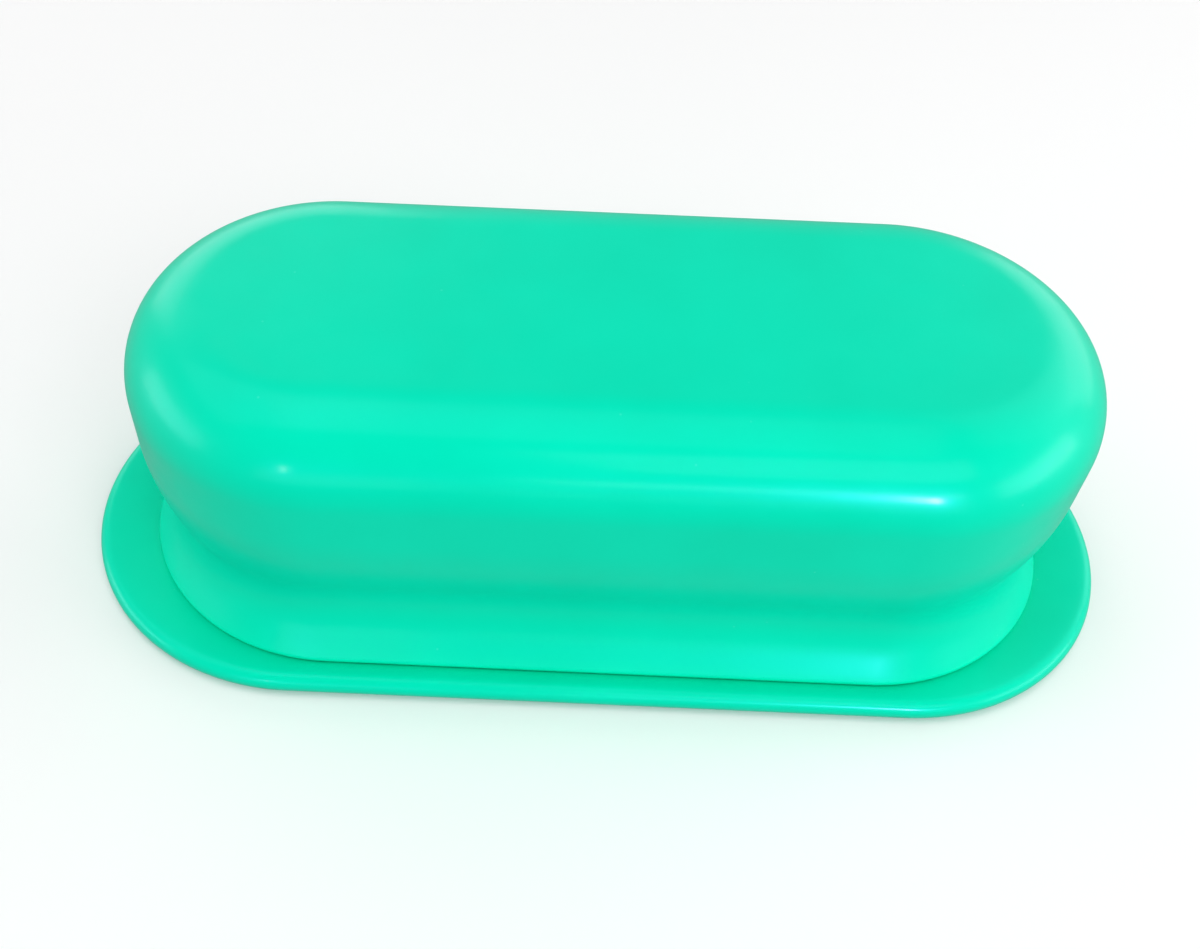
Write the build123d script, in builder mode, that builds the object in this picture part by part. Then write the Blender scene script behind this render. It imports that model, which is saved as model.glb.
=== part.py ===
"""Silicone soap mould standing upside down on its shallow tray.

Millimetres, +Z up, X along the length, origin at the centre of the underside of the tray.
Both pieces have a stadium-shaped plan: a straight spine with a half circle round each end.
A cross-section is drawn as (distance from the spine, height). It is run straight along a
quarter of the plan, turned round the end, and mirrored twice.
"""

import os
from math import acos, cos, radians, sin, sqrt

from build123d import *

# ---- mould body -------------------------------------------------------------------------
BODY_SPINE = 65.2  # half length of the straight part
BODY_RADIUS = 47.2  # half width at the wall
BODY_TOP = 77.7  # height of the flat base of the trough above the table
WALL = 3.0  # silicone thickness
TOP_ROUND = 19.7  # rounding between the flat base and the wall
BULGE_START = 48.0  # height where the wall starts to curve in
BULGE_RADIUS = 60.0  # convex part of the wall
NECK_RADIUS = 18.0  # hollow between the wall and the flare
FLARE = 32.0  # degrees between the flare and the vertical
LIP_REACH = 49.1  # half width over the lip
LIP_ROUND = 1.4  # rounding of the outer edge of the lip
MOUTH_RADIUS = 44.8  # half width of the mouth
MOUTH_ROUND = 0.5  # rounding of the inner edge of the lip

# ---- tray -------------------------------------------------------------------------------
TRAY_SPINE = 74.3  # half length of the straight part
TRAY_RADIUS = 55.7  # half width over the rim
RIM_ROUND = 3.0  # radius of the rolled rim
FLOOR = 4.6  # height of the floor, where the lip stands
FLOOR_RADIUS = 48.2  # half width of the flat part of the floor
CREST = 0.6  # width of the top of the rim inside the rolled edge
STEP_RADIUS = 40.5  # half width of the locating step inside the mouth
STEP_SPREAD = 1.5  # how far the side of the step spreads going down
STEP_HEIGHT = 2.0  # height of the step above the floor
STEP_ROUND = 0.8  # rounding of the top edge of the step
RECESS_RADIUS = 39.0  # half width of the hollow under the step
RECESS_DEPTH = 3.4
RECESS_ROUND = 1.5  # rounding in the corner of the hollow
FOOT_ROUND = 0.8  # rounding of the edge of the hollow on the table

os.makedirs("parts", exist_ok=True)

# ---- points of the wall -----------------------------------------------------------------
half = sqrt(0.5)
flat_x = BODY_RADIUS - TOP_ROUND
round_z = BODY_TOP - TOP_ROUND
inner_radius = BODY_RADIUS - WALL

# the flare runs at a tangent to the neck and to the rounding of the lip
flare = radians(FLARE)
lip_x, lip_z = LIP_REACH - LIP_ROUND, FLOOR + LIP_ROUND
bulge_x = BODY_RADIUS - BULGE_RADIUS
reach = BULGE_RADIUS + NECK_RADIUS
across = (lip_x - bulge_x) * cos(flare) + (lip_z - BULGE_START) * sin(flare)
turn = acos((across + LIP_ROUND + NECK_RADIUS) / reach) - flare
neck_x = bulge_x + reach * cos(turn)
neck_z = BULGE_START - reach * sin(turn)


def on_round(radius):
    """Middle point of the rounding between the base and the wall."""
    return (flat_x + radius * half, round_z + radius * half)


def on_bulge(radius, angle):
    """Point of the convex part of the wall, an angle below its start."""
    return (bulge_x + radius * cos(angle), BULGE_START - radius * sin(angle))


def on_neck(radius, angle):
    """Point of the neck, an angle below its narrowest place."""
    return (neck_x - radius * cos(angle), neck_z - radius * sin(angle))


flare_top = on_neck(NECK_RADIUS, flare)
flare_foot = (lip_x + LIP_ROUND * cos(flare), lip_z + LIP_ROUND * sin(flare))
inner_flare_top = on_neck(NECK_RADIUS + WALL, flare)
mouth_z = inner_flare_top[1] - (MOUTH_RADIUS - inner_flare_top[0]) * cos(flare) / sin(flare)


def wall_outline():
    """Outline of the half section of the mould body."""
    with BuildLine() as outline:
        # outside, from the middle of the base down to the lip
        Line((0, BODY_TOP), (flat_x, BODY_TOP))
        ThreePointArc((flat_x, BODY_TOP), on_round(TOP_ROUND), (BODY_RADIUS, round_z))
        Line((BODY_RADIUS, round_z), (BODY_RADIUS, BULGE_START))
        ThreePointArc(
            (BODY_RADIUS, BULGE_START),
            on_bulge(BULGE_RADIUS, turn / 2),
            on_bulge(BULGE_RADIUS, turn),
        )
        ThreePointArc(on_bulge(BULGE_RADIUS, turn), on_neck(NECK_RADIUS, 0), flare_top)
        Line(flare_top, flare_foot)
        ThreePointArc(
            flare_foot,
            (lip_x + LIP_ROUND * half, lip_z - LIP_ROUND * half),
            (lip_x, FLOOR),
        )
        # foot of the lip
        Line((lip_x, FLOOR), (MOUTH_RADIUS, FLOOR))
        # inside, back up to the middle of the base
        Line((MOUTH_RADIUS, FLOOR), (MOUTH_RADIUS, mouth_z))
        Line((MOUTH_RADIUS, mouth_z), inner_flare_top)
        ThreePointArc(
            inner_flare_top,
            on_neck(NECK_RADIUS + WALL, 0),
            on_bulge(BULGE_RADIUS - WALL, turn),
        )
        ThreePointArc(
            on_bulge(BULGE_RADIUS - WALL, turn),
            on_bulge(BULGE_RADIUS - WALL, turn / 2),
            (inner_radius, BULGE_START),
        )
        Line((inner_radius, BULGE_START), (inner_radius, round_z))
        ThreePointArc(
            (inner_radius, round_z),
            on_round(TOP_ROUND - WALL),
            (flat_x, BODY_TOP - WALL),
        )
        Line((flat_x, BODY_TOP - WALL), (0, BODY_TOP - WALL))
        Line((0, BODY_TOP - WALL), (0, BODY_TOP))
    return outline.line


# ---- mould body -------------------------------------------------------------------------
with BuildPart() as mould_body:
    with BuildSketch(Plane.YZ):
        make_face(wall_outline())
    extrude(amount=BODY_SPINE)
    with BuildSketch(Plane.YZ.offset(BODY_SPINE)):
        make_face(wall_outline())
    revolve(axis=Axis((BODY_SPINE, 0, 0), (0, 0, -1)), revolution_arc=90)
    mirror(about=Plane.XZ)
    mirror(about=Plane.YZ)
    foot = mould_body.faces().filter_by(Plane.XY).sort_by(Axis.Z)[0]
    fillet(foot.inner_wires().edges(), MOUTH_ROUND)

# ---- points of the rim ------------------------------------------------------------------
rim_x = TRAY_RADIUS - RIM_ROUND
rim_z = 2 * RIM_ROUND


def plate_outline():
    """Outline of the half section of the plate of the tray, with its rolled edge."""
    with BuildLine() as outline:
        Line((0, 0), (rim_x, 0))
        ThreePointArc((rim_x, 0), (TRAY_RADIUS, RIM_ROUND), (rim_x, rim_z))
        Line((rim_x, rim_z), (0, rim_z))
        Line((0, rim_z), (0, 0))
    return outline.line


# ---- tray -------------------------------------------------------------------------------
with BuildPart() as tray:
    # plate and rolled edge
    with BuildSketch(Plane.YZ):
        make_face(plate_outline())
    extrude(amount=TRAY_SPINE)
    with BuildSketch(Plane.YZ.offset(TRAY_SPINE)):
        make_face(plate_outline())
    revolve(axis=Axis((TRAY_SPINE, 0, 0), (0, 0, -1)), revolution_arc=90)
    mirror(about=Plane.XZ)
    mirror(about=Plane.YZ)

    # dished floor, sloping up to the rim
    with BuildSketch(Plane.XY.offset(FLOOR)):
        SlotCenterToCenter(2 * BODY_SPINE, 2 * FLOOR_RADIUS)
    with BuildSketch(Plane.XY.offset(rim_z)):
        SlotCenterToCenter(2 * TRAY_SPINE, 2 * (rim_x - CREST))
    loft(mode=Mode.SUBTRACT)

    # locating step inside the mouth
    with BuildSketch(Plane.XY.offset(FLOOR)):
        SlotCenterToCenter(2 * BODY_SPINE, 2 * (STEP_RADIUS + STEP_SPREAD))
    with BuildSketch(Plane.XY.offset(FLOOR + STEP_HEIGHT)):
        SlotCenterToCenter(2 * BODY_SPINE, 2 * STEP_RADIUS)
    loft()
    fillet(tray.faces().sort_by(Axis.Z)[-1].edges(), STEP_ROUND)

    # hollow underside
    with BuildSketch(Plane.XY):
        SlotCenterToCenter(2 * BODY_SPINE, 2 * RECESS_RADIUS)
    extrude(amount=RECESS_DEPTH, mode=Mode.SUBTRACT)
    flats = tray.faces().filter_by(Plane.XY)
    ceiling = flats.filter_by_position(Axis.Z, RECESS_DEPTH - 0.01, RECESS_DEPTH + 0.01)
    fillet(ceiling.edges(), RECESS_ROUND)
    sole = tray.faces().filter_by(Plane.XY).sort_by(Axis.Z)[0]
    fillet(sole.inner_wires().edges(), FOOT_ROUND)

# ---- parts ------------------------------------------------------------------------------
mould_body.part.label = "mould_body"
tray.part.label = "tray"

export_step(mould_body.part, "parts/mould_body.step")
export_step(tray.part, "parts/tray.step")
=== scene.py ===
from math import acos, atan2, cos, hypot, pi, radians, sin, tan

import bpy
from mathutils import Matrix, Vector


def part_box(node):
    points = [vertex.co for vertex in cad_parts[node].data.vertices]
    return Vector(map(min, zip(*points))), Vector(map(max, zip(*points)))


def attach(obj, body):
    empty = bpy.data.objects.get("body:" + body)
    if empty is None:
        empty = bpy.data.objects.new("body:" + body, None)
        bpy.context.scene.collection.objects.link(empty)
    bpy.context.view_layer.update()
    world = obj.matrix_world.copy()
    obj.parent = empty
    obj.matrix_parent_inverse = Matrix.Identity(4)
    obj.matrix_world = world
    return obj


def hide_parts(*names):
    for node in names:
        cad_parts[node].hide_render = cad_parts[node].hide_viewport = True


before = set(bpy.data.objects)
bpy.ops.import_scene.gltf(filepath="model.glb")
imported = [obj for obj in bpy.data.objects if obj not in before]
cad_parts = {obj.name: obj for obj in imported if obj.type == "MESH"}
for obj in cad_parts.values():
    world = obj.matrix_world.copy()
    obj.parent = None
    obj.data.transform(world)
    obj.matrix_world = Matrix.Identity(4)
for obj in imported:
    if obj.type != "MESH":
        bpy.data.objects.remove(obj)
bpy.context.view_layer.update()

# Looks of the silicone soap mould and its tray. Metres, in the frame of the CAD model.
# Both pieces have a stadium-shaped plan, so each is a stack of stadium rings. A ring is
# (half length of the spine, distance from the spine, height), and a cross-section is a
# list of rings from the middle of the upper surface, out round the edge, and back to the
# middle of the lower surface.

MM = 0.001

# ---- mould body -------------------------------------------------------------------------
BODY_SPINE = 65.2 * MM
BODY_RADIUS = 47.2 * MM
BODY_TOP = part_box("mould_body")[1][2]
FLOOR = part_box("mould_body")[0][2]  # height at which the lip stands on the tray
WALL = 3.0 * MM
TOP_ROUND = 19.7 * MM
BULGE_START = 48.0 * MM  # height below which the upright wall starts to curve in
BULGE_RADIUS = 60.0 * MM
NECK_RADIUS = 18.0 * MM
FLARE = radians(32)  # how far the outside of the flare faces up
LIP_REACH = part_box("mould_body")[1][1]
LIP_ROUND = 1.4 * MM
MOUTH_RADIUS = 44.8 * MM
MOUTH_ROUND = 0.5 * MM

# ---- tray -------------------------------------------------------------------------------
TRAY_SPINE = 74.3 * MM
TRAY_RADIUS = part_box("tray")[1][1]
RIM_ROUND = 3.0 * MM
FLOOR_RADIUS = 48.2 * MM
CREST = 2.2 * MM  # width of the rounded top of the rim inside the rolled edge
STEP_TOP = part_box("tray")[1][2]
STEP_RADIUS = 40.5 * MM
STEP_SPREAD = 1.5 * MM
STEP_ROUND = 0.8 * MM
RECESS_RADIUS = 39.0 * MM
RECESS_DEPTH = 3.4 * MM
RECESS_ROUND = 1.5 * MM
FOOT_ROUND = 0.8 * MM

# ---- mesh -------------------------------------------------------------------------------
ARC_STEPS = 84  # segments round each half circle of the plan
SIDE_STEPS = 64  # segments along each straight side
RING_GAP = 1.5 * MM  # largest distance between rings on a straight stretch of a section
SAME_POINT = 1e-7  # points nearer than this are one point
DISH_RINGS = 18  # segments across the dished floor of the tray
SOLE_RINGS = 10  # segments across the flat underside of the tray
TOP_STEP = radians(3)  # turn from ring to ring on each rounded stretch of a section
CEILING_STEP = radians(4)
BULGE_STEP = radians(1)
NECK_STEP = radians(5)
LIP_STEP = radians(8)
RIM_STEP = radians(6)
EDGE_STEP = radians(10)
FOOT_STEP = radians(15)


# ---- cross-sections ---------------------------------------------------------------------
def arc(centre, radius, start, end, step):
    """Points on an arc, both ends included."""
    count = max(3, round(abs(end - start) / step))
    turns = [start + (end - start) * i / count for i in range(count + 1)]
    return [(centre[0] + radius * cos(t), centre[1] + radius * sin(t)) for t in turns]


def fill(points):
    """Adds points on the long straight stretches of a section."""
    full = [points[0]]
    for a, b in zip(points, points[1:]):
        length = hypot(b[0] - a[0], b[1] - a[1])
        if length < SAME_POINT:
            continue
        count = max(1, round(length / RING_GAP))
        for i in range(1, count + 1):
            full.append(tuple(p + (q - p) * i / count for p, q in zip(a, b)))
    return full


def between(first, corner, last, count):
    """Rings strictly between two rings, on a curve that turns towards a corner."""
    rings = []
    for i in range(1, count):
        t = i / count
        rings.append(tuple((1 - t) ** 2 * a + 2 * t * (1 - t) * b + t**2 * c
                           for a, b, c in zip(first, corner, last)))
    return rings


def body_section():
    """Mould body: outside from the middle of the base down to the lip, then back up inside.

    The bulge is a circle that meets the upright wall, and the neck is a circle outside the
    wall. It touches the bulge's circle, and the straight flare that ends in the lip.
    """
    top = (BODY_RADIUS - TOP_ROUND, BODY_TOP - TOP_ROUND)
    bulge = (BODY_RADIUS - BULGE_RADIUS, BULGE_START)
    lip = (LIP_REACH - LIP_ROUND, FLOOR + LIP_ROUND)
    reach = BULGE_RADIUS + NECK_RADIUS
    across = (lip[0] - bulge[0]) * cos(FLARE) + (lip[1] - bulge[1]) * sin(FLARE)
    turn = acos((across + LIP_ROUND + NECK_RADIUS) / reach) - FLARE
    neck = (bulge[0] + reach * cos(turn), bulge[1] - reach * sin(turn))
    outside = (
        [(0.0, BODY_TOP)]
        + arc(top, TOP_ROUND, pi / 2, 0, TOP_STEP)
        + arc(bulge, BULGE_RADIUS, 0, -turn, BULGE_STEP)
        + arc(neck, NECK_RADIUS, pi - turn, pi + FLARE, NECK_STEP)[1:]
        + arc(lip, LIP_ROUND, FLARE, -pi / 2, LIP_STEP)
    )
    mouth = arc((MOUTH_RADIUS + MOUTH_ROUND, FLOOR + MOUTH_ROUND), MOUTH_ROUND,
                -pi / 2, -pi, FOOT_STEP)

    # the inside of the flare runs down to the short upright land at the mouth
    inside = NECK_RADIUS + WALL
    flare_x = neck[0] - inside * cos(FLARE)
    flare_z = neck[1] - inside * sin(FLARE)
    land_z = flare_z - (MOUTH_RADIUS - flare_x) / tan(FLARE)
    within = (
        [(MOUTH_RADIUS, land_z)]
        + arc(neck, inside, pi + FLARE, pi - turn, NECK_STEP)
        + arc(bulge, BULGE_RADIUS - WALL, -turn, 0, BULGE_STEP)[1:]
        + arc(top, TOP_ROUND - WALL, 0, pi / 2, CEILING_STEP)
        + [(0.0, BODY_TOP - WALL)]
    )
    return [(BODY_SPINE, r, z) for r, z in fill(outside + mouth + within)]


def tray_section():
    """Tray: top from the middle of the step out over the rim, then back along the underside."""
    rim = (TRAY_RADIUS - RIM_ROUND, RIM_ROUND)
    step_side = atan2(STEP_SPREAD, STEP_TOP - FLOOR)
    step_edge = (STEP_RADIUS - STEP_ROUND, STEP_TOP - STEP_ROUND)
    foot = (RECESS_RADIUS + FOOT_ROUND, FOOT_ROUND)
    recess = (RECESS_RADIUS - RECESS_ROUND, RECESS_DEPTH - RECESS_ROUND)
    inner = fill(
        [(0.0, STEP_TOP)]
        + arc(step_edge, STEP_ROUND, pi / 2, step_side, EDGE_STEP)
        + [(STEP_RADIUS + STEP_SPREAD, FLOOR), (FLOOR_RADIUS, FLOOR)]
    )
    outer = arc(rim, RIM_ROUND, pi / 2, -pi / 2, RIM_STEP)
    under = fill(
        arc(foot, FOOT_ROUND, -pi / 2, -pi, FOOT_STEP)
        + arc(recess, RECESS_ROUND, 0, pi / 2, EDGE_STEP)
        + [(0.0, RECESS_DEPTH)]
    )
    inner = [(BODY_SPINE, r, z) for r, z in inner]
    outer = [(TRAY_SPINE, r, z) for r, z in outer]
    under = [(BODY_SPINE, r, z) for r, z in under]
    slope_end = (TRAY_SPINE - CREST / 2, rim[0] - CREST, 2 * RIM_ROUND)
    dish = between(inner[-1], slope_end, outer[0], DISH_RINGS)
    middle = [(a + b) / 2 for a, b in zip(outer[-1], under[0])]
    sole = between(outer[-1], middle, under[0], SOLE_RINGS)
    return inner + dish + outer + sole + under


# ---- meshes -----------------------------------------------------------------------------
def ring_points(spine, radius, z):
    """Corners of one stadium ring, anticlockwise from the front of the +X end."""
    points = []
    for end in (1, -1):
        for i in range(ARC_STEPS):
            turn = -pi / 2 + pi * i / ARC_STEPS
            points.append((end * (spine + radius * cos(turn)), end * radius * sin(turn), z))
        for i in range(SIDE_STEPS):
            points.append((end * (spine - 2 * spine * i / SIDE_STEPS), end * radius, z))
    return points


def spine_index(i):
    """Where corner i of a ring falls on the spine when the ring shrinks to nothing."""
    half = ARC_STEPS + SIDE_STEPS
    along = max(0, i % half - ARC_STEPS)
    return along if i < half else SIDE_STEPS - along


def faces_between(upper, lower):
    """Faces that join two rows of corner numbers, without the corners that coincide."""
    faces = []
    for i in range(len(upper)):
        j = (i + 1) % len(upper)
        corners = []
        for corner in (upper[i], lower[i], lower[j], upper[j]):
            if corner not in corners:
                corners.append(corner)
        if len(corners) > 2:
            faces.append(corners)
    return faces


def stadium_solid(name, section):
    """Closed mesh from a section whose first and last rings lie on the spine."""
    count = 2 * (ARC_STEPS + SIDE_STEPS)
    points, rows = [], []
    for spine, radius, z in section:
        start = len(points)
        if radius > 0:
            points += ring_points(spine, radius, z)
            rows.append([start + i for i in range(count)])
        else:
            points += [(spine - 2 * spine * i / SIDE_STEPS, 0.0, z) for i in range(SIDE_STEPS + 1)]
            rows.append([start + spine_index(i) for i in range(count)])
    faces = []
    for upper, lower in zip(rows, rows[1:]):
        faces += faces_between(upper, lower)
    mesh = bpy.data.meshes.new(name)
    mesh.from_pydata(points, [], faces)
    mesh.validate()
    mesh.shade_smooth()
    piece = bpy.data.objects.new(name, mesh)
    bpy.context.collection.objects.link(piece)
    return piece


body = stadium_solid("mould_shell", body_section())
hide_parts("mould_body")
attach(body, "mould")

tray = stadium_solid("tray_shell", tray_section())
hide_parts("tray")
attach(tray, "tray")


# ---- material ---------------------------------------------------------------------------
MOULD_DEEP = (0.0, 0.73, 0.445)
MOULD_LIGHT = (0.0, 0.77, 0.475)
TRAY_DEEP = (0.0, 0.72, 0.44)
TRAY_LIGHT = (0.0, 0.76, 0.47)
CLOUD_SCALE = 30  # features of a noise to the metre
GLOSS_SCALE = 140
SKIN_SCALE = 900
CLOUD_DETAIL = 4
FINE_DETAIL = 3
NOISE_RANGE = (0.3, 0.7)  # most values of a noise lie between these
SPECK_COLOUR = (0.15, 0.9, 0.7)
SPECK_SPACING = 9 * MM
SPECK_SIZE = 0.35 * MM
SPECK_CORE = 0.3  # share of a speck's size at full strength
SPECK_STRENGTH = 0.25  # share of the speck's colour there
ROUGHNESS = (0.28, 0.36)
SKIN_STRENGTH = 0.25
SKIN_DEPTH = 0.02 * MM
SILICONE_IOR = 1.41
SPECULAR_LEVEL = 0.5
SPECULAR_TINT = (0.0, 0.45, 1.0, 1)
COAT_WEIGHT = 0.1
COAT_ROUGHNESS = 0.15


def noise(tree, place, scale, detail):
    """Noise over the solid, with its features about 1 / scale metres apart."""
    node = tree.nodes.new("ShaderNodeTexNoise")
    node.inputs["Scale"].default_value = scale
    node.inputs["Detail"].default_value = detail
    tree.links.new(place, node.inputs["Vector"])
    return node.outputs["Fac"]


def spread(tree, value, low, high):
    """Stretches the middle of a noise to the range from low to high."""
    node = tree.nodes.new("ShaderNodeMapRange")
    node.inputs["From Min"].default_value, node.inputs["From Max"].default_value = NOISE_RANGE
    node.inputs["To Min"].default_value = low
    node.inputs["To Max"].default_value = high
    tree.links.new(value, node.inputs["Value"])
    return node.outputs["Result"]


def blend(tree, factor, first, second):
    """Mixes two colours; each is a value or the output of another node."""
    node = tree.nodes.new("ShaderNodeMix")
    node.data_type = "RGBA"
    tree.links.new(factor, node.inputs["Factor"])
    for socket, colour in ((node.inputs["A"], first), (node.inputs["B"], second)):
        if isinstance(colour, tuple):
            socket.default_value = (*colour, 1)
        else:
            tree.links.new(colour, socket)
    return node.outputs["Result"]


def specks(tree, place, spacing, size):
    """Sparse round specks in the pigment: 0 between them, SPECK_STRENGTH in their cores."""
    cells = tree.nodes.new("ShaderNodeTexVoronoi")
    cells.inputs["Scale"].default_value = 1 / spacing
    tree.links.new(place, cells.inputs["Vector"])
    node = tree.nodes.new("ShaderNodeMapRange")
    node.inputs["From Min"].default_value = size / spacing
    node.inputs["From Max"].default_value = SPECK_CORE * size / spacing
    node.inputs["To Max"].default_value = SPECK_STRENGTH
    tree.links.new(cells.outputs["Distance"], node.inputs["Value"])
    return node.outputs["Result"]


def silicone(name, deep, light):
    """Moulded silicone: cloudy pigment, pale specks, a fine skin and uneven gloss."""
    material = bpy.data.materials.new(name)
    material.use_nodes = True
    tree = material.node_tree
    place = tree.nodes.new("ShaderNodeTexCoord").outputs["Object"]
    shader = tree.nodes["Principled BSDF"]
    clouds = spread(tree, noise(tree, place, CLOUD_SCALE, CLOUD_DETAIL), 0, 1)
    pigment = blend(tree, clouds, deep, light)
    dots = specks(tree, place, SPECK_SPACING, SPECK_SIZE)
    tree.links.new(blend(tree, dots, pigment, SPECK_COLOUR), shader.inputs["Base Color"])
    gloss = spread(tree, noise(tree, place, GLOSS_SCALE, FINE_DETAIL), *ROUGHNESS)
    tree.links.new(gloss, shader.inputs["Roughness"])
    skin = tree.nodes.new("ShaderNodeBump")
    skin.inputs["Strength"].default_value = SKIN_STRENGTH
    skin.inputs["Distance"].default_value = SKIN_DEPTH
    tree.links.new(noise(tree, place, SKIN_SCALE, FINE_DETAIL), skin.inputs["Height"])
    tree.links.new(skin.outputs["Normal"], shader.inputs["Normal"])
    shader.inputs["IOR"].default_value = SILICONE_IOR
    shader.inputs["Coat IOR"].default_value = SILICONE_IOR
    shader.inputs["Specular IOR Level"].default_value = SPECULAR_LEVEL
    shader.inputs["Specular Tint"].default_value = SPECULAR_TINT
    shader.inputs["Coat Weight"].default_value = COAT_WEIGHT
    shader.inputs["Coat Roughness"].default_value = COAT_ROUGHNESS
    return material


body.data.materials.append(silicone("silicone_mould", MOULD_DEEP, MOULD_LIGHT))
tray.data.materials.append(silicone("silicone_tray", TRAY_DEEP, TRAY_LIGHT))

# ---- camera -----------------------------------------------------------------------------
LOOK_AT = Vector((-21.36, -32.94, 30.0)) * MM
DISTANCE = 304.1 * MM
TURN = 0.0089  # radians about Z
DIP = 0.8916  # radians below the horizon
ROLL = -0.0367  # radians about the line of sight
LENS = 39.0
SENSOR = 36
SHIFT = (0.0731, 0.0659)
NEAR = 0.01


def make_camera():
    """Camera that looks down at the front of the mould."""
    view = Vector((-sin(TURN) * cos(DIP), cos(TURN) * cos(DIP), -sin(DIP)))
    level = Vector((cos(TURN), sin(TURN), 0))
    down = view.cross(level)
    right = cos(ROLL) * level + sin(ROLL) * down
    up = sin(ROLL) * level - cos(ROLL) * down
    data = bpy.data.cameras.new("camera")
    data.lens = LENS
    data.sensor_width = SENSOR
    data.shift_x, data.shift_y = SHIFT
    data.clip_start = NEAR
    camera = bpy.data.objects.new("camera", data)
    camera.matrix_world = Matrix((right, up, -view)).transposed().to_4x4()
    camera.location = LOOK_AT - DISTANCE * view
    bpy.context.collection.objects.link(camera)
    bpy.context.scene.camera = camera


make_camera()

# ---- floor and light --------------------------------------------------------------------
GROUND_HALF = 4  # half the side of the square floor
GROUND_GAP = 0.2 * MM  # below the tray, so that the two don't lie in one plane
GROUND_COLOUR = (0.95, 0.95, 0.95, 1)
GROUND_ROUGHNESS = 0.9
WORLD_COLOUR = (1, 1, 1, 1)
WORLD_STRENGTH = 0.3
AIM = Vector((0, 0, 40 * MM))  # the middle of the mould

# name, degrees round from the front, degrees above the floor, distance, size, watts
SOFTBOXES = (
    ("overhead", 0, 85, 1.2, (0.9, 0.9), 3.2),
    ("key", 25, 44, 1.2, (0.7, 0.45), 3.3),
    ("front_low", 17, 2, 1.2, (0.9, 0.25), 5.4),
    ("front_left", -20, 6, 1.2, (0.6, 0.3), 1.2),
    ("right_low", 72, 12, 1.2, (0.9, 0.4), 4.8),
    ("right_high", 110, 42, 1.2, (0.9, 0.9), 1.9),
    ("left_high", -90, 62, 1.2, (0.9, 0.9), 2.7),
    ("left_low", -84, 10, 1.2, (0.9, 0.4), 3.8),
    ("back_left", -150, 18, 1.2, (0.9, 0.6), 2.6),
    ("back_right", 130, 16, 1.2, (0.9, 0.6), 2.2),
)
HIGHLIGHTS = (
    ("band", 17, 17, 1.2, (0.7, 0.12), 1.9),
    ("glint_right", 23.4, 15, 0.66, (0.02, 0.06), 2.2),
    ("glint_left", -22.7, 17, 0.87, (0.015, 0.1), 0.8),
)


def make_floor():
    """Plain white floor. It throws no light up the walls and isn't mirrored in them."""
    low, high = -GROUND_HALF, GROUND_HALF
    mesh = bpy.data.meshes.new("floor")
    mesh.from_pydata([(low, low, 0), (high, low, 0), (high, high, 0), (low, high, 0)],
                     [], [(0, 1, 2, 3)])
    paint = bpy.data.materials.new("floor")
    paint.use_nodes = True
    shader = paint.node_tree.nodes["Principled BSDF"]
    shader.inputs["Base Color"].default_value = GROUND_COLOUR
    shader.inputs["Roughness"].default_value = GROUND_ROUGHNESS
    mesh.materials.append(paint)
    floor = bpy.data.objects.new("floor", mesh)
    floor.location.z = -GROUND_GAP
    floor.visible_diffuse = False
    floor.visible_glossy = False
    bpy.context.collection.objects.link(floor)


def make_world():
    """Even white light from all round."""
    world = bpy.data.worlds.new("world")
    bpy.context.scene.world = world
    world.use_nodes = True
    background = world.node_tree.nodes["Background"]
    background.inputs["Color"].default_value = WORLD_COLOUR
    background.inputs["Strength"].default_value = WORLD_STRENGTH


def softbox(name, turn, height, distance, size, power):
    """Area light that faces the mould and is itself unseen by the camera."""
    turn, height = radians(turn), radians(height)
    place = Vector((sin(turn) * cos(height), -cos(turn) * cos(height), sin(height))) * distance
    data = bpy.data.lights.new(name, "AREA")
    data.shape = "RECTANGLE"
    data.size, data.size_y = size
    data.energy = power
    light = bpy.data.objects.new(name, data)
    light.location = place
    light.rotation_euler = (AIM - place).to_track_quat("-Z", "Y").to_euler()
    light.visible_camera = False
    bpy.context.collection.objects.link(light)
    return light


make_floor()
make_world()
lights = {row[0]: softbox(*row) for row in SOFTBOXES}
lights["front_low"].visible_glossy = False  # it would draw a bright line along the flare

# these show only as highlights: a long band, and two glints
for row in HIGHLIGHTS:
    softbox(*row).visible_diffuse = False

bpy.context.scene.view_settings.view_transform = "Standard"
